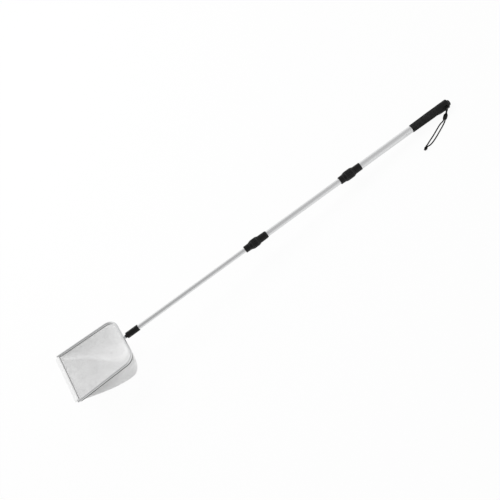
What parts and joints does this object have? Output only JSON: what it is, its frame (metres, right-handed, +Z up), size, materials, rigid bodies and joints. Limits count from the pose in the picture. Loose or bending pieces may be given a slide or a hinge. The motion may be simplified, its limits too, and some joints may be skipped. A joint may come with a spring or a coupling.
{
  "type": "leaf skimmer net",
  "caption": "Scoop-shaped mesh net on a bent rod frame, screwed to a telescopic pole with twist locks, a soft grip and a wrist cord at the capped end.",
  "frame": {"origin": "on the floor below the middle of the whole tool's box, as the tool lies on the bag's bottom and on the grip's cap", "axes": "+X runs along the pole from the net to the grip, level with the floor; +Z is up, out of the bag's mouth; +Y is to the left when looking from the net to the grip, so the wrist cord lies towards -Y"},
  "size_m": [1.2538, 0.1664, 0.1116],
  "materials": {
    "bright_aluminium": "bright polished and clear anodised",
    "stainless_steel": "plain drawn wire",
    "black_plastic": "moulded, satin",
    "black_foam_rubber": "closed-cell foam, fine matt grain",
    "natural_plastic": "natural uncoloured nylon",
    "white_soft_plastic": "soft flexible strip, satin",
    "grey_net": "fine knitted mesh",
    "black_cord": "braided",
    "brass": "turned"
  },
  "bodies": {
    "upper_section": {"upper_tube": "bright_aluminium", "grip_sleeve": "black_foam_rubber", "end_cap": "black_plastic", "upper_lock_body": "black_plastic", "upper_lock_collet": "natural_plastic", "wrist_cord_inner": "black_cord", "wrist_cord_outer": "black_cord", "cord_bead": "black_plastic", "cord_knot": "black_cord"},
    "upper_nut": {"upper_lock_nut": "black_plastic"},
    "middle_guide": {"middle_bush": "natural_plastic"},
    "middle_section": {"middle_tube": "bright_aluminium", "lower_lock_body": "black_plastic", "lower_lock_collet": "natural_plastic"},
    "lower_nut": {"lower_lock_nut": "black_plastic"},
    "lower_guide": {"lower_bush": "natural_plastic"},
    "lower_section": {"lower_tube": "bright_aluminium", "socket_sleeve": "black_plastic", "socket_insert": "brass"},
    "washer": {"stud_washer": "black_foam_rubber"},
    "head": {"hoop_rod": "bright_aluminium", "front_wire": "stainless_steel", "front_lip": "white_soft_plastic", "net_bag": "grey_net", "head_stud": "stainless_steel"}
  },
  "joints": [
    {"name": "upper_lock_twist", "type": "hinge", "parent": "upper_section", "child": "upper_nut", "pos_m": [0.29653, 0, 0.03687], "axis": [-0.997, 0, 0.0779], "range_deg": [0, 90]},
    {"name": "middle_tube_slide", "type": "slide", "parent": "upper_section", "child": "middle_guide", "axis": [0.997, 0, -0.0779], "range_m": [0, 0.237]},
    {"name": "middle_tube_turn", "type": "hinge", "parent": "middle_guide", "child": "middle_section", "pos_m": [0.1607, 0, 0.04748], "axis": [0.997, 0, -0.0779], "continuous": true},
    {"name": "lower_lock_twist", "type": "hinge", "parent": "middle_section", "child": "lower_nut", "pos_m": [-0.01083, 0, 0.06088], "axis": [-0.997, 0, 0.0779], "range_deg": [0, 90]},
    {"name": "lower_tube_slide", "type": "slide", "parent": "middle_section", "child": "lower_guide", "axis": [0.997, 0, -0.0779], "range_m": [0, 0.3]},
    {"name": "lower_tube_turn", "type": "hinge", "parent": "lower_guide", "child": "lower_section", "pos_m": [-0.18824, 0, 0.07474], "axis": [0.997, 0, -0.0779], "continuous": true},
    {"name": "head_advance", "type": "slide", "parent": "lower_section", "child": "washer", "axis": [-0.997, 0, 0.0779], "range_m": [0, 0.01]},
    {"name": "head_unscrew", "type": "hinge", "parent": "washer", "child": "head", "pos_m": [-0.43, 0, 0.09363], "axis": [-0.997, 0, 0.0779], "range_deg": [0, 2880]}
  ],
  "couplings": [
    {"joint": "head_advance", "follows": "head_unscrew", "m_per_rad": 0.0001989}
  ]
}
